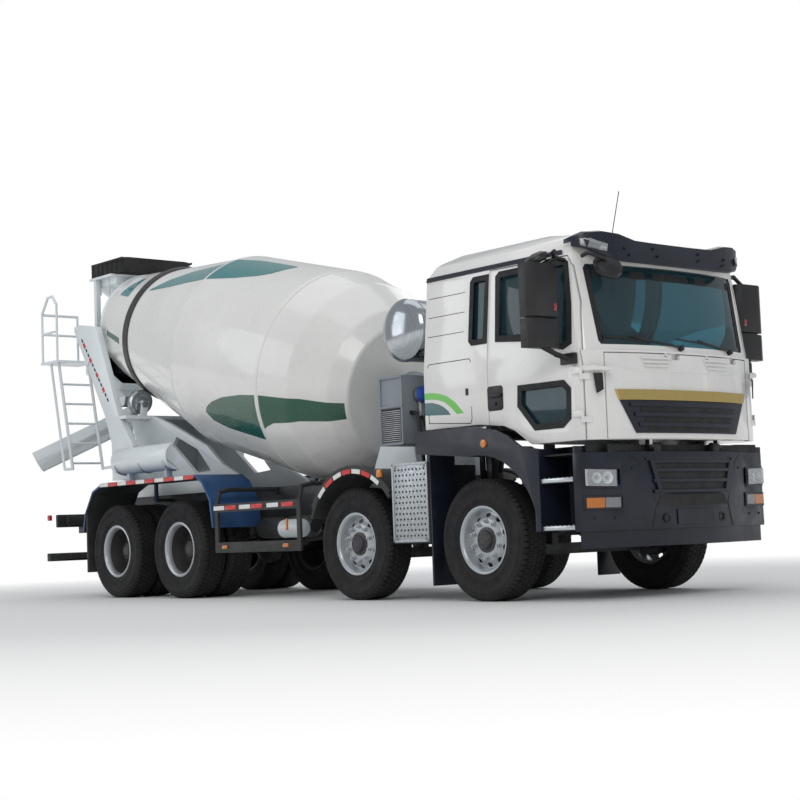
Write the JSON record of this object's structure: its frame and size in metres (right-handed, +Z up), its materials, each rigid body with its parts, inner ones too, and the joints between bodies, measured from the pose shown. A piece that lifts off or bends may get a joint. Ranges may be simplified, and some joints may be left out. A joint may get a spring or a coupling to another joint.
{
  "type": "concrete mixer truck",
  "caption": "Forward-control truck on four axles with a tilted rotating drum, feed hopper, support rollers and a swinging discharge chute.",
  "frame": {"origin": "middle of the underside of the bounding box, on the ground", "axes": "+X forward, +Y to the truck's left, +Z up"},
  "size_m": [10.3394, 3.1, 4.225],
  "materials": {
    "tyre": "matt",
    "wheel_steel": "silver paint",
    "chassis_black": "satin black",
    "casting_grey": "satin grey",
    "bright_steel": "bright",
    "black_plastic": "matt",
    "blue_plastic": "satin",
    "navy_plastic": "satin",
    "mixer_white": "satin",
    "drum_white": "gloss",
    "collar_rubber": "matt",
    "cab_white": "pearl gloss",
    "tinted_glass": "clear",
    "cab_trim": "matt"
  },
  "bodies": {
    "chassis": {"drum_gearbox": "casting_grey", "front_axle_1": "chassis_black", "front_axle_2": "chassis_black", "rear_bogie": "chassis_black", "chassis_frame": "chassis_black", "engine_block": "casting_grey", "fuel_tank": "bright_steel", "battery_box_left": "chassis_black", "exhaust_box_right": "bright_steel", "side_guard_left": "black_plastic", "side_guard_right": "black_plastic", "mudguard_2_left": "black_plastic", "mudguard_2_right": "black_plastic", "rear_mudguard_left": "blue_plastic", "rear_mudguard_right": "blue_plastic", "entry_steps_left": "navy_plastic", "entry_steps_right": "navy_plastic", "front_bumper": "navy_plastic", "drum_pedestal": "mixer_white", "water_tank": "bright_steel", "hydraulic_cooler": "casting_grey", "rear_stand": "mixer_white", "feed_hopper": "mixer_white", "hopper_collar": "collar_rubber", "discharge_funnel": "mixer_white", "rear_ladder": "mixer_white", "spare_chute_right": "bright_steel", "rear_underrun": "chassis_black"},
    "steer_1_left": {"knuckle_1_left": "chassis_black"},
    "wheel_1_left": {"tyre_1_left": "tyre", "wheel_1_left": "wheel_steel"},
    "steer_1_right": {"knuckle_1_right": "chassis_black"},
    "wheel_1_right": {"tyre_1_right": "tyre", "wheel_1_right": "wheel_steel"},
    "steer_2_left": {"knuckle_2_left": "chassis_black"},
    "wheel_2_left": {"tyre_2_left": "tyre", "wheel_2_left": "wheel_steel"},
    "steer_2_right": {"knuckle_2_right": "chassis_black"},
    "wheel_2_right": {"tyre_2_right": "tyre", "wheel_2_right": "wheel_steel"},
    "twins_3_left": {"twin_wheel_3_left": "tyre"},
    "twins_3_right": {"twin_wheel_3_right": "tyre"},
    "twins_4_left": {"twin_wheel_4_left": "tyre"},
    "twins_4_right": {"twin_wheel_4_right": "tyre"},
    "cab": {"cab_shell": "cab_white", "windscreen": "tinted_glass", "roof_visor": "navy_plastic", "cab_interior": "cab_trim"},
    "door_left": {"door_left": "cab_white", "door_glass_left": "tinted_glass", "mirror_left": "black_plastic"},
    "door_right": {"door_right": "cab_white", "door_glass_right": "tinted_glass", "mirror_right": "black_plastic"},
    "front_flap": {"front_flap": "cab_white"},
    "drum": {"drum": "drum_white"},
    "roller_left": {"drum_roller_left": "bright_steel"},
    "roller_right": {"drum_roller_right": "bright_steel"},
    "chute_post": {"chute_swivel": "mixer_white"},
    "chute": {"main_chute": "bright_steel"}
  },
  "joints": [
    {"name": "steering_1_left", "type": "hinge", "parent": "chassis", "child": "steer_1_left", "pos_m": [3.73773, 0.9, 0.54], "axis": [0, 0, 1], "range_deg": [-33, 33]},
    {"name": "wheel_spin_1_left", "type": "hinge", "parent": "steer_1_left", "child": "wheel_1_left", "pos_m": [3.73773, 1.08, 0.54], "axis": [0, 1, 0], "continuous": true},
    {"name": "steering_1_right", "type": "hinge", "parent": "chassis", "child": "steer_1_right", "pos_m": [3.73773, -0.9, 0.54], "axis": [0, 0, 1], "range_deg": [-33, 33]},
    {"name": "wheel_spin_1_right", "type": "hinge", "parent": "steer_1_right", "child": "wheel_1_right", "pos_m": [3.73773, -1.08, 0.54], "axis": [0, 1, 0], "continuous": true},
    {"name": "steering_2_left", "type": "hinge", "parent": "chassis", "child": "steer_2_left", "pos_m": [1.93773, 0.9, 0.54], "axis": [0, 0, 1], "range_deg": [-22.5, 22.5]},
    {"name": "wheel_spin_2_left", "type": "hinge", "parent": "steer_2_left", "child": "wheel_2_left", "pos_m": [1.93773, 1.08, 0.54], "axis": [0, 1, 0], "continuous": true},
    {"name": "steering_2_right", "type": "hinge", "parent": "chassis", "child": "steer_2_right", "pos_m": [1.93773, -0.9, 0.54], "axis": [0, 0, 1], "range_deg": [-22.5, 22.5]},
    {"name": "wheel_spin_2_right", "type": "hinge", "parent": "steer_2_right", "child": "wheel_2_right", "pos_m": [1.93773, -1.08, 0.54], "axis": [0, 1, 0], "continuous": true},
    {"name": "wheel_spin_3_left", "type": "hinge", "parent": "chassis", "child": "twins_3_left", "pos_m": [-1.19227, 0.92, 0.54], "axis": [0, 1, 0], "continuous": true},
    {"name": "wheel_spin_3_right", "type": "hinge", "parent": "chassis", "child": "twins_3_right", "pos_m": [-1.19227, -0.92, 0.54], "axis": [0, 1, 0], "continuous": true},
    {"name": "wheel_spin_4_left", "type": "hinge", "parent": "chassis", "child": "twins_4_left", "pos_m": [-2.54227, 0.92, 0.54], "axis": [0, 1, 0], "continuous": true},
    {"name": "wheel_spin_4_right", "type": "hinge", "parent": "chassis", "child": "twins_4_right", "pos_m": [-2.54227, -0.92, 0.54], "axis": [0, 1, 0], "continuous": true},
    {"name": "cab_tilt", "type": "hinge", "parent": "chassis", "child": "cab", "pos_m": [5.05573, 0, 1.288], "axis": [0, 1, 0], "range_deg": [0, 55]},
    {"name": "door_left_hinge", "type": "hinge", "parent": "cab", "child": "door_left", "pos_m": [4.93773, 1.132, 1.9], "axis": [0, 0, -1], "range_deg": [0, 65]},
    {"name": "door_right_hinge", "type": "hinge", "parent": "cab", "child": "door_right", "pos_m": [4.93773, -1.132, 1.9], "axis": [0, 0, 1], "range_deg": [0, 65]},
    {"name": "flap_hinge", "type": "hinge", "parent": "cab", "child": "front_flap", "pos_m": [5.12773, 0, 2.064], "axis": [0, -1, 0], "range_deg": [0, 60]},
    {"name": "drum_spin", "type": "hinge", "parent": "chassis", "child": "drum", "pos_m": [-2.88227, 0, 3.18], "axis": [0.9686, 0, -0.2487], "continuous": true},
    {"name": "roller_left_spin", "type": "hinge", "parent": "chassis", "child": "roller_left", "pos_m": [-3.09423, 0.53257, 2.35449], "axis": [0.9686, 0, -0.2487], "continuous": true},
    {"name": "roller_right_spin", "type": "hinge", "parent": "chassis", "child": "roller_right", "pos_m": [-3.09423, -0.53257, 2.35449], "axis": [0.9686, 0, -0.2487], "continuous": true},
    {"name": "chute_swing", "type": "hinge", "parent": "chassis", "child": "chute_post", "pos_m": [-4.22227, 0, 1.8], "axis": [0, 0, 1], "range_deg": [-130, 15]},
    {"name": "chute_tilt", "type": "hinge", "parent": "chute_post", "child": "chute", "pos_m": [-4.22227, 0, 2.035], "axis": [0.788, -0.6157, 0], "range_deg": [-30, 14]}
  ],
  "couplings": [
    {"joint": "steering_1_right", "follows": "steering_1_left", "ratio": 1},
    {"joint": "steering_2_left", "follows": "steering_1_left", "ratio": 0.68},
    {"joint": "steering_2_right", "follows": "steering_1_left", "ratio": 0.68},
    {"joint": "roller_left_spin", "follows": "drum_spin", "ratio": -5.68},
    {"joint": "roller_right_spin", "follows": "drum_spin", "ratio": -5.68}
  ]
}
